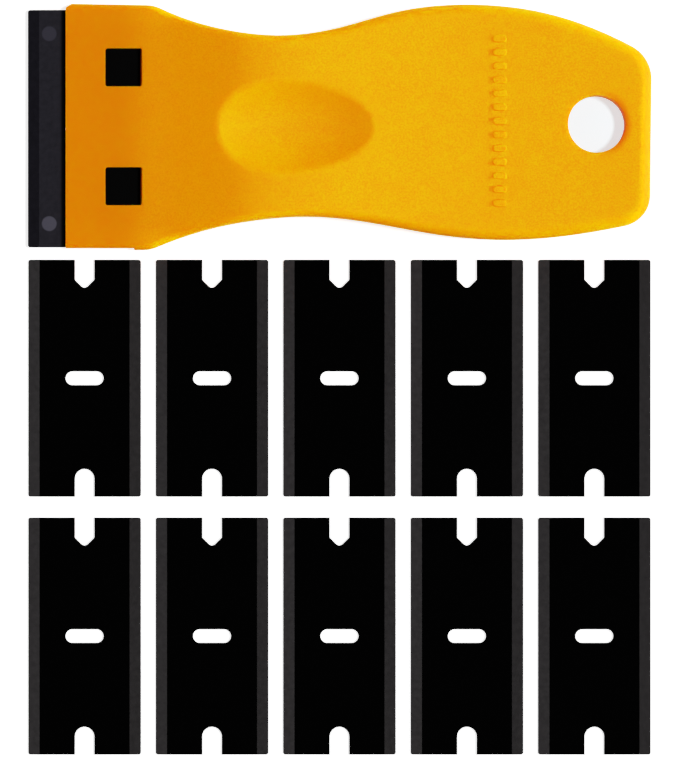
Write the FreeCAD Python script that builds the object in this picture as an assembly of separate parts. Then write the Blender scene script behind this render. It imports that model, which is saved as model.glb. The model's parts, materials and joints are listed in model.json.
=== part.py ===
"""Plastic blade scraper: a one-piece moulded handle whose front jaws grip a double-edged plastic blade,
with ten loose spare blades laid out beside it. Millimetres, +Z up.

The handle lies on its flat underside, z = 0. X runs from the cutting edge (-X) to the hanging hole (+X),
and x = 0 is half way along. Y runs across, and y = 0 is the handle's centre line.
"""

import FreeCAD, Part
import math
import os

from FreeCAD import Vector as V

OUT = "parts"

# --- the blade: a flat double-edged plastic blade, reversible end for end
BLADE_LENGTH = 40.0
BLADE_WIDTH = 19.0
BLADE_THICK = 1.0
BEVEL_WIDTH = 1.9  # each ground edge, on both faces
EDGE_LAND = 0.16  # thickness left at the cutting edge
BLADE_CORNER_R = 0.4
NOTCH_WIDTH = 3.3  # the two locating notches, in the middle of each short end
NOTCH_DEPTH = 4.7
NOTCH_TIP_R = 0.8  # the pointed notch's rounded tip
SLOT_LENGTH = 6.4  # the central locating slot
SLOT_WIDTH = 2.3
MARK_R = 1.25  # round ejector marks, on one face only
MARK_DEPTH = 0.12
MARK_FROM_EDGE = 3.6
MARK_FROM_END = 4.0

# --- the scraper as a whole
TOTAL_LENGTH = 105.0
EXPOSED = 6.4  # blade standing out of the jaws
BLADE_SIDE_SHIFT = -0.25  # the blade sits a little off centre, nearly flush with one side
FIT_GAP = 0.05  # clearance between the blade and the jaws, and behind it

CUTTING_EDGE_X = -TOTAL_LENGTH / 2
TAIL_X = TOTAL_LENGTH / 2
MOUTH_X = CUTTING_EDGE_X + EXPOSED
POCKET_END_X = CUTTING_EDGE_X + BLADE_WIDTH + FIT_GAP

# --- the handle
LOWER_JAW = 1.7  # thickness under the blade
POCKET_HEIGHT = BLADE_THICK + 2 * FIT_GAP
JAW_SIDES = (-20.37, 20.8)  # y of the jaws' two sides, at the mouth
JAW_END_X = POCKET_END_X - 1.1  # where the thicker block behind the jaws starts, on the low side
MOUTH_CHAMFER = (1.0, 0.7)

# top surface: poles (x, z) of a smooth curve, from before the lip, over the jaws, up the ramp to the
# hump and down the grip to past the tail
PROFILE = [
    (-48.0, 3.95),
    (-40.5, 5.0),
    (-33.0, 6.35),
    (-26.5, 6.5),
    (-19.5, 10.7),
    (-7.0, 10.95),
    (9.0, 9.3),
    (30.0, 8.3),
    (55.0, 8.0),
]
# long sides, (x, y), from the shoulder behind the jaws by the waist and the grip's bulge to the tail
UPPER_SIDE = [
    (-31.2, 20.45),
    (-24.9, 17.8),
    (-17.4, 15.9),
    (-10.1, 15.25),
    (0.1, 16.6),
    (9.4, 19.2),
    (22.5, 20.5),
    (35.0, 19.0),
    (42.5, 16.6),
    (TAIL_X, 11.6),
]
LOWER_SIDE = [
    (-31.9, -20.7),
    (-26.8, -18.7),
    (-21.1, -17.0),
    (-13.6, -15.65),
    (-5.7, -15.1),
    (5.1, -16.1),
    (16.3, -18.1),
    (28.5, -19.0),
    (40.6, -18.0),
    (TAIL_X - 0.3, -15.7),
]
SHOULDER_R = 5.5
TAIL_CORNER_R = (6.2, 5.2)  # upper, lower
EDGE_R = (1.1, 2.0)  # rounding of the top edge: along the jaws, and growing to this at the tail
UNDER_R = 0.8  # rounding along the bottom edge

DISH_FLOOR = (-7.0, -0.1, 8.4)  # thumb rest: a hollow with its lowest point here
DISH_RADII = (73.0, 14.0)  # along and across
DISH_LEAN = 1.0  # degrees, up towards the tail
DISH_RIM_R = 2.5

WINDOW = (6.2, 6.4)  # x and y size of the square windows
WINDOW_Y = 10.0
WINDOW_CORNER_R = 0.35
WINDOW_PAST_POCKET = 0.25  # how far the upper jaw's windows run on past the pocket's end
LOWER_WINDOW_SHORTER = 0.9  # the lower jaw's windows stop this much earlier, under the blade

HOLE_X = 43.2
HOLE_Y = 0.4
HOLE_R = 4.8
HOLE_RIM_R = 0.8

RIB_ROW_X = 26.9  # row of short grip ribs across the bulge
RIB_ROW_Y = (-12.9, 14.7)
RIB_COUNT = 13
RIB_SIZE = (2.4, 1.2)
RIB_CORNER_R = 0.5
RIB_HEIGHT = 0.22
RIB_CROWN_R = 0.2
RIB_ROOT_Z = 7.5  # inside the handle's top wall

# underside coring: walls and ribs of nearly even thickness
WALL = 2.5
CORE_START_X = -27.0
CORE_RIB = 1.4
CORE_PITCH = 9.6
CORE_RIBS_Y = (-9.0, 0.0, 9.0)

# --- the spare blades, in two rows of five beside the scraper
SPARE_COLUMNS = 5
SPARE_ROWS = 2
SPARE_PITCH_X = (TOTAL_LENGTH - BLADE_WIDTH) / (SPARE_COLUMNS - 1)
SPARE_GAP_TO_SCRAPER = 1.6
SPARE_ROW_GAP = 3.5

TALL = 30.0  # longer than any cut has to be


def spline(points):
    """A smooth curve through the points."""
    curve = Part.BSplineCurve()
    curve.interpolate(Points=[V(*p) for p in points])
    return curve.toShape()


def poled_curve(poles):
    """A smooth curve that the poles pull towards them."""
    curve = Part.BSplineCurve()
    curve.buildFromPoles([V(*p) for p in poles], False, 3)
    return curve.toShape()


def line(a, b):
    return Part.LineSegment(V(*a), V(*b)).toShape()


def block(x0, x1, y0, y1, z0, z1):
    return Part.makeBox(x1 - x0, y1 - y0, z1 - z0, V(x0, y0, z0))


def prism(edges, z0, z1):
    """The closed outline in the XY plane, from z0 to z1."""
    face = Part.Face(Part.Wire(edges))
    face.translate(V(0, 0, z0))
    return face.extrude(V(0, 0, z1 - z0))


def edges_where(shape, test):
    return [e for e in shape.Edges if test(e)]


def upright(e):
    a, b = e.Vertexes[0].Point, e.Vertexes[-1].Point
    return abs(a.x - b.x) < 1e-4 and abs(a.y - b.y) < 1e-4 and abs(a.z - b.z) > 1e-3


def rounded_box(x, y, size_x, size_y, r, z0, z1):
    """An upright block centred on (x, y) with rounded corners."""
    box = block(x - size_x / 2, x + size_x / 2, y - size_y / 2, y + size_y / 2, z0, z1)
    return box.makeFillet(r, edges_where(box, upright))


# ---------------------------------------------------------------- blade


def pointed_notch():
    """45-degree sides meeting in a rounded tip."""
    half, depth = NOTCH_WIDTH / 2, NOTCH_DEPTH
    flank = half - NOTCH_TIP_R * (math.sqrt(2) - 1)
    cut = Part.makePolygon(
        [V(-half, 1, 0), V(-half, flank - depth, 0), V(0, flank - half - depth, 0),
         V(half, flank - depth, 0), V(half, 1, 0), V(-half, 1, 0)]
    )
    solid = Part.Face(cut).extrude(V(0, 0, BLADE_THICK))
    tip = edges_where(solid, lambda e: upright(e) and abs(e.CenterOfMass.x) < 1e-6)
    return solid.makeFillet(NOTCH_TIP_R, tip)


def round_notch():
    half = NOTCH_WIDTH / 2
    straight = NOTCH_DEPTH - half
    solid = block(-half, half, -1, straight, 0, BLADE_THICK)
    return solid.fuse(Part.makeCylinder(half, BLADE_THICK, V(0, straight, 0))).removeSplitter()


def centre_slot():
    r = SLOT_WIDTH / 2
    reach = SLOT_LENGTH / 2 - r
    solid = block(-reach, reach, -r, r, 0, BLADE_THICK)
    for x in (-reach, reach):
        solid = solid.fuse(Part.makeCylinder(r, BLADE_THICK, V(x, 0, 0)))
    return solid.removeSplitter()


def bevelled_bar():
    """The blade's cross-section, six-sided, along its whole length."""
    half, flat, land = BLADE_WIDTH / 2, BLADE_WIDTH / 2 - BEVEL_WIDTH, EDGE_LAND / 2
    middle = BLADE_THICK / 2
    corners = [
        (-half, middle - land), (-flat, 0), (flat, 0), (half, middle - land),
        (half, middle + land), (flat, BLADE_THICK), (-flat, BLADE_THICK), (-half, middle + land),
    ]
    points = [V(x, -BLADE_LENGTH / 2, z) for x, z in corners]
    return Part.Face(Part.makePolygon(points + points[:1])).extrude(V(0, BLADE_LENGTH, 0))


def blade():
    """One blade, centred on the Z axis and lying on z = 0 with its ejector marks upwards."""
    plan = rounded_box(0, 0, BLADE_WIDTH, BLADE_LENGTH, BLADE_CORNER_R, 0, BLADE_THICK)
    solid = plan.common(bevelled_bar())
    top, bottom = pointed_notch(), round_notch()
    top.translate(V(0, BLADE_LENGTH / 2, 0))
    bottom.translate(V(0, -BLADE_LENGTH / 2, 0))
    for cut in (top, bottom, centre_slot()):
        solid = solid.cut(cut)
    for sx in (-1, 1):
        for sy in (-1, 1):
            x = sx * (BLADE_WIDTH / 2 - MARK_FROM_EDGE)
            y = sy * (BLADE_LENGTH / 2 - MARK_FROM_END)
            mark = Part.makeCylinder(MARK_R, 1, V(x, y, BLADE_THICK - MARK_DEPTH))
            solid = solid.cut(mark)
    return solid


def fitted_blade():
    solid = blade()
    middle_x = CUTTING_EDGE_X + BLADE_WIDTH / 2
    solid.translate(V(middle_x, BLADE_SIDE_SHIFT, LOWER_JAW + FIT_GAP))
    return solid


def spare_blades():
    """Name and solid of each spare, left to right and row by row, ejector marks downwards."""
    first_y = LOWER_SIDE[0][1] - SPARE_GAP_TO_SCRAPER - BLADE_LENGTH / 2
    found = []
    for row in range(SPARE_ROWS):
        for column in range(SPARE_COLUMNS):
            solid = blade()
            solid.rotate(V(0, 0, BLADE_THICK / 2), V(0, 1, 0), 180)
            x = CUTTING_EDGE_X + BLADE_WIDTH / 2 + column * SPARE_PITCH_X
            y = first_y - row * (BLADE_LENGTH + SPARE_ROW_GAP)
            solid.translate(V(x, y, 0))
            found.append((f"spare_blade_{len(found) + 1:02d}", solid))
    return found


# --------------------------------------------------------------- handle


def outline(inset=0.0):
    """Edges of the handle's plan, in order. inset moves the walls inwards, for the coring."""
    upper = [(x, y - inset, 0) for x, y in UPPER_SIDE[:-1]]
    upper += [(UPPER_SIDE[-1][0] - inset, UPPER_SIDE[-1][1] - inset, 0)]
    lower = [(x, y + inset, 0) for x, y in LOWER_SIDE[:-1]]
    lower += [(LOWER_SIDE[-1][0] - inset, LOWER_SIDE[-1][1] + inset, 0)]
    front_high, front_low = (MOUTH_X, JAW_SIDES[1] - inset, 0), (MOUTH_X, lower[0][1], 0)
    edges = [line(front_low, front_high), line(front_high, upper[0]), spline(upper)]
    edges += [line(upper[-1], lower[-1]), spline(lower), line(lower[0], front_low)]
    return edges


def under_profile(drop=0.0):
    """Everything below the top surface, lowered by drop, wider than the handle."""
    poles = [(x, -TALL, z - drop) for x, z in PROFILE]
    floor = [(poles[-1][0], -TALL, -1.0), (poles[0][0], -TALL, -1.0)]
    corners = [poles[-1], *floor, poles[0]]
    edges = [poled_curve(poles)] + [line(a, b) for a, b in zip(corners, corners[1:])]
    return Part.Face(Part.Wire(edges)).extrude(V(0, 2 * TALL, 0))


def dish(grow=0.0):
    """The barrel that scoops out the thumb rest. grow makes it larger all round."""
    along, across = DISH_RADII
    reach = 30.0
    rise = along - math.sqrt(along * along - reach * reach)
    left, right = V(-reach, 0, rise - grow), V(reach, 0, rise - grow)
    arc = Part.Arc(left, V(0, 0, -grow), right).toShape()
    axis_ends = [V(reach, 0, across), V(-reach, 0, across)]
    sides = [line(a, b) for a, b in zip([right, *axis_ends], [*axis_ends, left])]
    barrel = Part.Face(Part.Wire([arc, *sides])).revolve(V(0, 0, across), V(1, 0, 0), 360)
    barrel.rotate(V(0, 0, across), V(1, 0, 0), 180)  # its seam is then clear of the handle
    barrel.rotate(V(0, 0, 0), V(0, 1, 0), -DISH_LEAN)
    barrel.translate(V(*DISH_FLOOR))
    return barrel


def beside(e, x, y, reach=0.6):
    """Whether the edge's middle is above or below this place."""
    m = e.CenterOfMass
    return abs(m.x - x) < reach and abs(m.y - y) < reach


def rounded_plan(z0, z1):
    """The handle's plan as a block, with its shoulders and tail corners rounded."""
    solid = prism(outline(), z0, z1)
    corners = [
        (UPPER_SIDE[0], SHOULDER_R),
        (LOWER_SIDE[0], SHOULDER_R),
        (UPPER_SIDE[-1], TAIL_CORNER_R[0]),
        (LOWER_SIDE[-1], TAIL_CORNER_R[1]),
    ]
    for (x, y), r in corners:
        solid = solid.makeFillet(r, edges_where(solid, lambda e: upright(e) and beside(e, x, y)))
    return solid


def on_top(e):
    return e.BoundBox.ZMin > PROFILE[0][1] - 0.1 and not upright(e)


def at_bottom(e):
    return e.BoundBox.ZMax < 0.01


def varied_fillet(solid, radii):
    """Rounds edges, each with its own radius at its start and at its end: radii lists (edge, start, end)."""
    doc = FreeCAD.newDocument("rounding")
    base = doc.addObject("Part::Feature", "base")
    base.Shape = solid
    rounded = doc.addObject("Part::Fillet", "rounded")
    rounded.Base = base
    numbers = range(1, len(solid.Edges) + 1)
    rounded.Edges = [
        (next(n for n in numbers if solid.Edges[n - 1].isSame(e)), start, end) for e, start, end in radii
    ]
    doc.recompute()
    shape = rounded.Shape.copy()
    FreeCAD.closeDocument(doc.Name)
    return shape


def body():
    """The solid handle with its edges rounded, before anything is cut into it."""
    solid = rounded_plan(-1, TALL).common(under_profile())
    solid = solid.common(block(MOUTH_X, TAIL_X, -TALL, TALL, 0, TALL))
    long_edges = sorted(edges_where(solid, on_top), key=lambda e: e.Length)[-2:]
    low, high = sorted(long_edges, key=lambda e: e.CenterOfMass.y)
    solid = varied_fillet(solid, [(high, *EDGE_R), (low, *EDGE_R[::-1])])
    return solid.makeFillet(UNDER_R, edges_where(solid, at_bottom))


def blade_pocket():
    """The slot between the jaws, open in front and at both sides, and the two windows in each jaw."""
    z0 = LOWER_JAW
    slot = block(MOUTH_X - 1, POCKET_END_X, -TALL, TALL, z0, z0 + POCKET_HEIGHT)
    size_x, size_y = WINDOW
    x = POCKET_END_X + WINDOW_PAST_POCKET - size_x / 2
    short = LOWER_WINDOW_SHORTER
    for y in (-WINDOW_Y, WINDOW_Y):
        upper = rounded_box(x, y, size_x, size_y, WINDOW_CORNER_R, z0, TALL)
        lower = rounded_box(x - short / 2, y, size_x - short, size_y, WINDOW_CORNER_R, -1, z0 + FIT_GAP)
        slot = slot.fuse([upper, lower])
    return slot


def coring():
    """The hollows in the underside: rows of cells with ribs between them."""
    cells = prism(outline(WALL), -1, TALL).common(under_profile(WALL))
    cells = cells.common(block(CORE_START_X, TAIL_X - WALL, -TALL, TALL, -1, TALL))
    cells = cells.cut(dish(WALL))
    cells = cells.cut(Part.makeCylinder(HOLE_R + WALL, 2 * TALL, V(HOLE_X, HOLE_Y, -TALL)))
    for y in CORE_RIBS_Y:
        cells = cells.cut(block(-2 * TALL, 2 * TALL, y - CORE_RIB / 2, y + CORE_RIB / 2, -2, TALL))
    x = CORE_START_X + CORE_PITCH
    while x < TAIL_X:
        cells = cells.cut(block(x - CORE_RIB / 2, x + CORE_RIB / 2, -TALL, TALL, -2, TALL))
        x += CORE_PITCH
    return cells


def cut_dish(solid):
    """Scoop out the thumb rest and soften its rim."""
    solid = solid.cut(dish())
    x, y, z = DISH_FLOOR

    def is_rim(e):
        return beside(e, x, y, 5.0) and e.BoundBox.ZMin > z - 0.5 and e.BoundBox.YLength > 10

    return solid.makeFillet(DISH_RIM_R, edges_where(solid, is_rim))


def cut_hanging_hole(solid):
    solid = solid.cut(Part.makeCylinder(HOLE_R, 2 * TALL, V(HOLE_X, HOLE_Y, -TALL)))

    def is_rim(e):
        middle = e.BoundBox.Center
        round_it = abs(e.BoundBox.XLength - 2 * HOLE_R) < 0.05
        return round_it and math.hypot(middle.x - HOLE_X, middle.y - HOLE_Y) < 0.05

    return solid.makeFillet(HOLE_RIM_R, edges_where(solid, is_rim))


def grip_ribs():
    """A row of short, low ribs that stand on the top surface."""
    first, last = RIB_ROW_Y
    pitch = (last - first) / (RIB_COUNT - 1)
    below_rib_tops = under_profile(-RIB_HEIGHT)

    def is_crown(e):
        return e.BoundBox.ZMin > RIB_ROOT_Z + 0.1

    ribs = []
    for i in range(RIB_COUNT):
        rib = rounded_box(RIB_ROW_X, first + i * pitch, *RIB_SIZE, RIB_CORNER_R, RIB_ROOT_Z, TALL)
        rib = rib.common(below_rib_tops)
        ribs.append(rib.makeFillet(RIB_CROWN_R, edges_where(rib, is_crown)))
    return ribs


def handle():
    solid = cut_hanging_hole(cut_dish(body()))
    low_jaw = block(MOUTH_X - 1, JAW_END_X, -TALL, JAW_SIDES[0], -TALL, TALL)
    dx, dy = MOUTH_CHAMFER
    corner = [(MOUTH_X, JAW_SIDES[1]), (MOUTH_X + dx, JAW_SIDES[1]), (MOUTH_X, JAW_SIDES[1] - dy)]
    points = [V(x, y, -1) for x, y in corner]
    chamfer = Part.Face(Part.makePolygon(points + points[:1])).extrude(V(0, 0, TALL))
    for cut in (low_jaw, chamfer, blade_pocket(), coring()):
        solid = solid.cut(cut)
    return solid.fuse(grip_ribs())


def main():
    os.makedirs(OUT, exist_ok=True)
    pieces = [("handle", handle()), ("fitted_blade", fitted_blade()), *spare_blades()]
    for name, solid in pieces:
        solid.exportStep(os.path.join(OUT, name + ".step"))
        state = "valid" if solid.isValid() else "INVALID"
        print(name, len(solid.Solids), "solid", state, round(solid.Volume, 1), "mm3")


main()
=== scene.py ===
"""Looks of the algae scraper: an orange-yellow moulded handle, a black plastic blade in its jaws,
and ten loose spare blades.

Blender 4.5. Metres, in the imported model's frame: +X from the blade to the hanging hole, +Z up.
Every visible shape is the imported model's own mesh, so this script gives it materials, light and a
camera. Colours are linear.
"""

import json
import math

import bpy
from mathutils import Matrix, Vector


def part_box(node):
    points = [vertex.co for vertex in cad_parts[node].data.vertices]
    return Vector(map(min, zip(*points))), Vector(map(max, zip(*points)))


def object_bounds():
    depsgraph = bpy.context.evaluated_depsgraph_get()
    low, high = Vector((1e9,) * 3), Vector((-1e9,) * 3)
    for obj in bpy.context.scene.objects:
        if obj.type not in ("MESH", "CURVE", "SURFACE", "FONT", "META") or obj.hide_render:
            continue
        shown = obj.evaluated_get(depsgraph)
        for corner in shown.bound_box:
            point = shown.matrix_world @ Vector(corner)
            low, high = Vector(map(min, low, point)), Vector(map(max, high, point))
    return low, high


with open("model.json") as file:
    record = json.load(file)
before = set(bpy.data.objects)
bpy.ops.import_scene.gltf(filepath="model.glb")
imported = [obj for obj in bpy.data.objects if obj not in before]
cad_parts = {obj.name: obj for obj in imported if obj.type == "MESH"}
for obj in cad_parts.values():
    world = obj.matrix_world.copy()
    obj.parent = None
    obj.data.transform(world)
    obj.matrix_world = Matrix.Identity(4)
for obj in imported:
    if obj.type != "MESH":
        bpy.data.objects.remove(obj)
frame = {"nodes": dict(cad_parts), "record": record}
cad_low, cad_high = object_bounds()

MM = 0.001
SPARES = [name for name in frame["nodes"] if name.startswith("spare_blade")]
BLADE_LOW, BLADE_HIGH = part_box("fitted_blade")
BLADE_MIDDLE_Y = (BLADE_LOW.y + BLADE_HIGH.y) / 2
MOUTH_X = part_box("handle")[0].x  # where the blade goes into the jaws
MARK_R = 1.25 * MM  # the blade's round ejector marks
MARK_FROM_EDGE = 3.6 * MM
MARK_FROM_END = 4.0 * MM
HOLE = next(mount for mount in frame["record"]["mounts"] if mount["name"] == "hang_hole")
HOLE_X, HOLE_Y, _ = HOLE["pos_m"]
HOLE_R = HOLE["dims"]["r_mm"] * MM


# ---------------------------------------------------------------- material nodes


class Material:
    """A Principled material, with short names for the nodes that feed it."""

    def __init__(self, name):
        self.data = bpy.data.materials.new(name)
        self.data.use_nodes = True
        self.nodes = self.data.node_tree.nodes
        self.links = self.data.node_tree.links
        self.shader = self.nodes["Principled BSDF"].inputs

    def feed(self, socket, value):
        """Sets a socket to a number or a colour, or links another node's output to it."""
        if isinstance(value, tuple):
            socket.default_value = (*value, 1.0)
        elif isinstance(value, (int, float)):
            socket.default_value = value
        else:
            self.links.new(value, socket)

    def coordinates(self, kind):
        """The x, y and z of a place on the piece (Object) or of its surface direction (Normal)."""
        place = self.nodes.new("ShaderNodeTexCoord")
        split = self.nodes.new("ShaderNodeSeparateXYZ")
        self.feed(split.inputs["Vector"], place.outputs[kind])
        return split.outputs["X"], split.outputs["Y"], split.outputs["Z"]

    def noise(self, scale, detail=2.0, roughness=0.5):
        """Noise over the piece, with about so many cells per metre."""
        place = self.nodes.new("ShaderNodeTexCoord")
        node = self.nodes.new("ShaderNodeTexNoise")
        self.feed(node.inputs["Vector"], place.outputs["Object"])
        self.feed(node.inputs["Scale"], scale)
        self.feed(node.inputs["Detail"], detail)
        self.feed(node.inputs["Roughness"], roughness)
        return node.outputs["Fac"]

    def calculate(self, operation, *values):
        node = self.nodes.new("ShaderNodeMath")
        node.operation = operation
        for socket, value in zip(node.inputs, values):
            self.feed(socket, value)
        return node.outputs[0]

    def reach(self, centre_x, centre_y):
        """How far a place is, seen from above, from a vertical line."""
        x, y, _ = self.coordinates("Object")
        squares = []
        for value, centre in ((x, centre_x), (y, centre_y)):
            squares.append(self.calculate("POWER", self.calculate("SUBTRACT", value, centre), 2))
        return self.calculate("SQRT", self.calculate("ADD", *squares))

    def step(self, value, start, end):
        """0 where the value is at start and 1 where it is at end, and smooth between them."""
        node = self.nodes.new("ShaderNodeMapRange")
        node.interpolation_type = "SMOOTHSTEP"
        self.feed(node.inputs["Value"], value)
        self.feed(node.inputs["From Min"], start)
        self.feed(node.inputs["From Max"], end)
        return node.outputs["Result"]

    def ramp(self, value, stops):
        """A colour ramp through (position, colour) stops."""
        node = self.nodes.new("ShaderNodeValToRGB")
        elements = node.color_ramp.elements
        while len(elements) < len(stops):
            elements.new(0.5)
        for element, (position, colour) in zip(elements, stops):
            element.position = position
            element.color = (*colour, 1.0)
        self.feed(node.inputs["Fac"], value)
        return node.outputs["Color"]

    def mix(self, factor, first, second, blend="MIX"):
        """The first colour where the factor is 0, and the second where it is 1."""
        node = self.nodes.new("ShaderNodeMix")
        node.data_type = "RGBA"
        node.blend_type = blend
        self.feed(node.inputs["Factor"], factor)
        colours = [socket for socket in node.inputs if socket.type == "RGBA"]
        self.feed(colours[0], first)
        self.feed(colours[1], second)
        return next(socket for socket in node.outputs if socket.type == "RGBA")

    def bump(self, height, strength, distance, over=None):
        """A surface direction tilted by the height, on top of another bump's if there is one."""
        node = self.nodes.new("ShaderNodeBump")
        self.feed(node.inputs["Height"], height)
        self.feed(node.inputs["Strength"], strength)
        self.feed(node.inputs["Distance"], distance)
        if over:
            self.feed(node.inputs["Normal"], over)
        return node.outputs["Normal"]


# ---------------------------------------------------------------- materials


def handle_plastic():
    """Orange-yellow moulded plastic: light soaks into it, and its skin is finely speckled.

    It is darker over the black blade: painted shade for the shaded head and for light lost through
    the thin jaws into the black blade. It is darker on faces turned to the key light: painted shade
    that
    offsets that light, which has to be strong to show the shallow dish. It is redder beside the
    hole:
    painted shade along the shaded side of its wall.
    """
    dark_speck, light_speck = (0.67, 0.215, 0.0002), (0.77, 0.275, 0.0004)
    # painted shade: the colour over the black blade, and the colour of faces turned to the key
    # light
    painted_shade_over_blade, painted_shade_to_key = (0.62, 0.195, 0.0002), (0.50, 0.150, 0.0002)
    # painted shade: redder and darker beside the hole, on the shaded side of its wall
    in_shade = (0.45, 0.05, 0.0001)
    material = Material("handle_plastic")
    speckle = material.noise(3200, detail=4, roughness=0.7)
    colour = material.ramp(speckle, [(0.36, dark_speck), (0.64, light_speck)])

    x = material.coordinates("Object")[0]
    # painted shade over the black blade, for the shaded head and for light lost through the thin
    # jaws
    shade_over_blade_mask = material.step(x, BLADE_HIGH.x + 3 * MM, BLADE_HIGH.x - 4 * MM)
    colour = material.mix(shade_over_blade_mask, colour, painted_shade_over_blade)
    # painted shade on faces turned to the key light, offsetting that strong light
    shade_to_key_mask = material.step(material.coordinates("Normal")[0], 0.2, 0.8)
    colour = material.mix(shade_to_key_mask, colour, painted_shade_to_key)
    # painted shade beside the hole, on the side of its wall away from the key light
    at_hole = material.step(material.reach(HOLE_X, HOLE_Y), HOLE_R + 1.5 * MM, HOLE_R - 0.5 * MM)
    past_middle = material.step(x, HOLE_X, HOLE_X + HOLE_R)
    colour = material.mix(material.calculate("MULTIPLY", at_hole, past_middle), colour, in_shade)

    grain = material.bump(material.noise(4200), 0.5, 0.04 * MM)
    swell = material.bump(material.noise(700), 0.2, 0.08 * MM, over=grain)
    shader = material.shader
    material.feed(shader["Base Color"], colour)
    material.feed(shader["Normal"], swell)
    material.feed(shader["Roughness"], 0.55)
    material.feed(shader["Specular IOR Level"], 0.012)
    material.feed(shader["Subsurface Weight"], 1.0)
    shader["Subsurface Radius"].default_value = (1.0, 0.25, 0.02)
    material.feed(shader["Subsurface Scale"], 2.2 * MM)
    return material.data


def black_plastic(name, flat, left_bevel, right_bevel, gloss):
    """Faintly patchy black plastic, with a tint for the flat faces and one for each ground edge.

    Returns the material and its colour, for whoever adds to it.
    """
    material = Material(name)
    facing = material.calculate("MULTIPLY_ADD", material.coordinates("Normal")[0], 0.5, 0.5)
    # each bevel's tint goes by which way it faces, so a bevel turned to the key light can carry
    # painted shade
    stops = [(0.42, left_bevel), (0.46, flat), (0.54, flat), (0.58, right_bevel)]
    tint = material.ramp(facing, stops)
    blotches = material.noise(1100, detail=5, roughness=0.7)
    patches = material.ramp(blotches, [(0.35, (0.7,) * 3), (0.65, (1.0,) * 3)])
    colour = material.mix(1.0, tint, patches, blend="MULTIPLY")
    grain = material.bump(material.noise(4000, detail=3), 0.25, 0.02 * MM)
    shader = material.shader
    material.feed(shader["Base Color"], colour)
    material.feed(shader["Normal"], grain)
    material.feed(shader["Roughness"], 0.6)
    material.feed(shader["Specular IOR Level"], gloss)
    return material, colour


def spare_black():
    flat = (0.0002,) * 3
    # the bevel facing +X is darker than the other: painted shade that offsets the low key light
    # from +X
    left_bevel, right_bevel = (0.0235, 0.0218, 0.0224), (0.0106, 0.0098, 0.0100)
    material, _ = black_plastic("spare_black", flat, left_bevel, right_bevel, gloss=0.002)
    return material.data


def fitted_black():
    """The blade in use: dark grey outside the jaws, with two lighter ejector marks, and near black
    inside the jaws and along their edge, which is painted shade.
    """
    # bevel: the colour measured on the blade's front bevel, kept dark also as painted shade for the
    # bevel seen in the windows
    bevel, exposed_grey, painted_shade_in_jaws = (0.0059, 0.0055, 0.0078), (0.0124, 0.0118, 0.0155), (0.0001,) * 3
    # the ejector mark at the low end is lighter than the one at the high end
    lighter_mark, darker_mark = (0.044, 0.042, 0.056), (0.022, 0.021, 0.029)
    material, plastic = black_plastic("fitted_black", exposed_grey, bevel, bevel, gloss=0.01)
    x, y, _ = material.coordinates("Object")
    mark_x = BLADE_LOW.x + MARK_FROM_EDGE
    to_low_mark = material.reach(mark_x, BLADE_LOW.y + MARK_FROM_END)
    to_high_mark = material.reach(mark_x, BLADE_HIGH.y - MARK_FROM_END)
    to_mark = material.calculate("MINIMUM", to_low_mark, to_high_mark)
    on_mark = material.step(to_mark, MARK_R + 0.1 * MM, MARK_R - 0.1 * MM)
    high_end = material.step(y, BLADE_MIDDLE_Y - MM, BLADE_MIDDLE_Y + MM)
    outside = material.mix(on_mark, plastic, material.mix(high_end, lighter_mark, darker_mark))
    # painted shade: near black inside the jaws and along their edge, where the jaws shade the blade
    in_jaws = material.step(x, MOUTH_X - 1.1 * MM, MOUTH_X - 0.5 * MM)
    material.feed(material.shader["Base Color"], material.mix(in_jaws, outside, painted_shade_in_jaws))
    return material.data


def floor_white():
    """A white light table that shines faintly. Under and around the hanging hole it shines less and
    is bluer: painted shade for the shadow in the hole, and a tint against the orange light thrown
    off the hole's wall.
    """
    # under the hole: a bluer white and a dimmer glow, painted shade and a tint against the wall's
    # orange light
    white, white_in_hole = (0.95, 0.95, 0.95), (0.76, 0.93, 0.98)
    glow, glow_in_hole = (0.9, 0.9, 0.9), (0.52, 0.56, 0.61)
    material = Material("floor_white")
    out_of_hole = material.step(material.reach(HOLE_X, HOLE_Y), HOLE_R + 1 * MM, HOLE_R + 4 * MM)
    shader = material.shader
    material.feed(shader["Base Color"], material.mix(out_of_hole, white_in_hole, white))
    material.feed(shader["Roughness"], 0.9)
    material.feed(shader["Specular IOR Level"], 0.0)
    material.feed(shader["Emission Color"], material.mix(out_of_hole, glow_in_hole, glow))
    material.feed(shader["Emission Strength"], 1.0)
    return material.data


def dress(node, material):
    mesh = frame["nodes"][node].data
    mesh.materials.clear()
    mesh.materials.append(material)


dress("handle", handle_plastic())
dress("fitted_blade", fitted_black())
spare_material = spare_black()
for name in SPARES:
    dress(name, spare_material)


# ---------------------------------------------------------------- studio

MIDDLE = (cad_low + cad_high) / 2
CAMERA_HEIGHT = 1.6
MARGIN = 1.012  # the picture's height over the layout's
SENSOR = 24.0
FLOOR_HALF = 1.5
ROOM_LIGHT = 0.28


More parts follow.
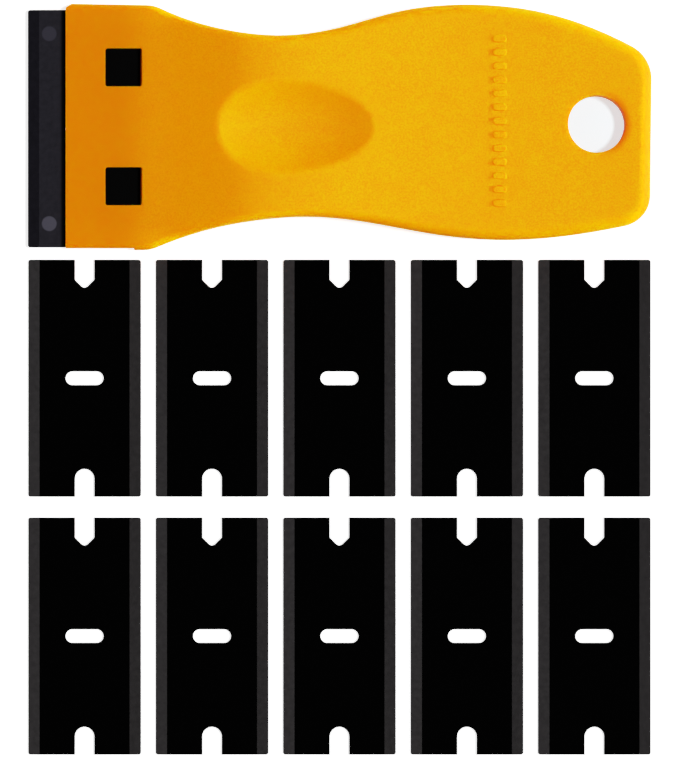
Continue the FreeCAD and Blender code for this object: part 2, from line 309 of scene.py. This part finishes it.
def add(name, data):
    obj = bpy.data.objects.new(name, data)
    bpy.context.scene.collection.objects.link(obj)
    return obj


def camera():
    """Straight above the middle of the layout, which fills the picture's height."""
    data = bpy.data.cameras.new("camera")
    data.sensor_fit = "VERTICAL"
    data.sensor_height = SENSOR
    data.lens = SENSOR * CAMERA_HEIGHT / ((cad_high.y - cad_low.y) * MARGIN)
    obj = add("camera", data)
    obj.location = (MIDDLE.x, MIDDLE.y, CAMERA_HEIGHT)
    bpy.context.scene.camera = obj


def floor():
    mesh = bpy.data.meshes.new("floor")
    signs = ((-1, -1), (1, -1), (1, 1), (-1, 1))
    corners = [(sx * FLOOR_HALF, sy * FLOOR_HALF, 0) for sx, sy in signs]
    mesh.from_pydata(corners, [], [(0, 1, 2, 3)])
    mesh.materials.append(floor_white())
    add("floor", mesh)


def sun(name, lean, power, softness):
    """Light from lean degrees off the vertical, towards +X if above 0, over softness degrees.

    At power 1, a white face turned to it is white.
    """
    data = bpy.data.lights.new(name, "SUN")
    data.energy = power * math.pi
    data.angle = math.radians(softness)
    add(name, data).rotation_euler = (0, math.radians(lean), 0)


def studio_light():
    """A low key light from the tail's end, one almost overhead, a soft one from the blade's end,
    and a dim white room."""
    world = bpy.data.worlds.new("studio")
    world.use_nodes = True
    background = world.node_tree.nodes["Background"].inputs
    background["Color"].default_value = (1, 1, 1, 1)
    background["Strength"].default_value = ROOM_LIGHT
    bpy.context.scene.world = world
    sun("key", lean=80, power=2.75, softness=8)
    sun("overhead", lean=12, power=1.05, softness=4)
    sun("front", lean=-30, power=0.12, softness=30)


def camera_response():
    """Tones as a camera records them: true up to the mid tones, then a shoulder up to white."""
    white = 2.0
    shoulder = ((0.3, 0.3), (0.6, 0.62), (1.0, 0.78), (1.5, 0.88))  # light in, tone shown
    view = bpy.context.scene.view_settings
    view.view_transform = "Standard"
    view.use_curve_mapping = True
    mapping = view.curve_mapping
    mapping.white_level = (white, white, white)
    *_, combined = mapping.curves
    for light, shown in shoulder:
        combined.points.new(light / white, shown)
    mapping.update()


camera()
floor()
studio_light()
camera_response()
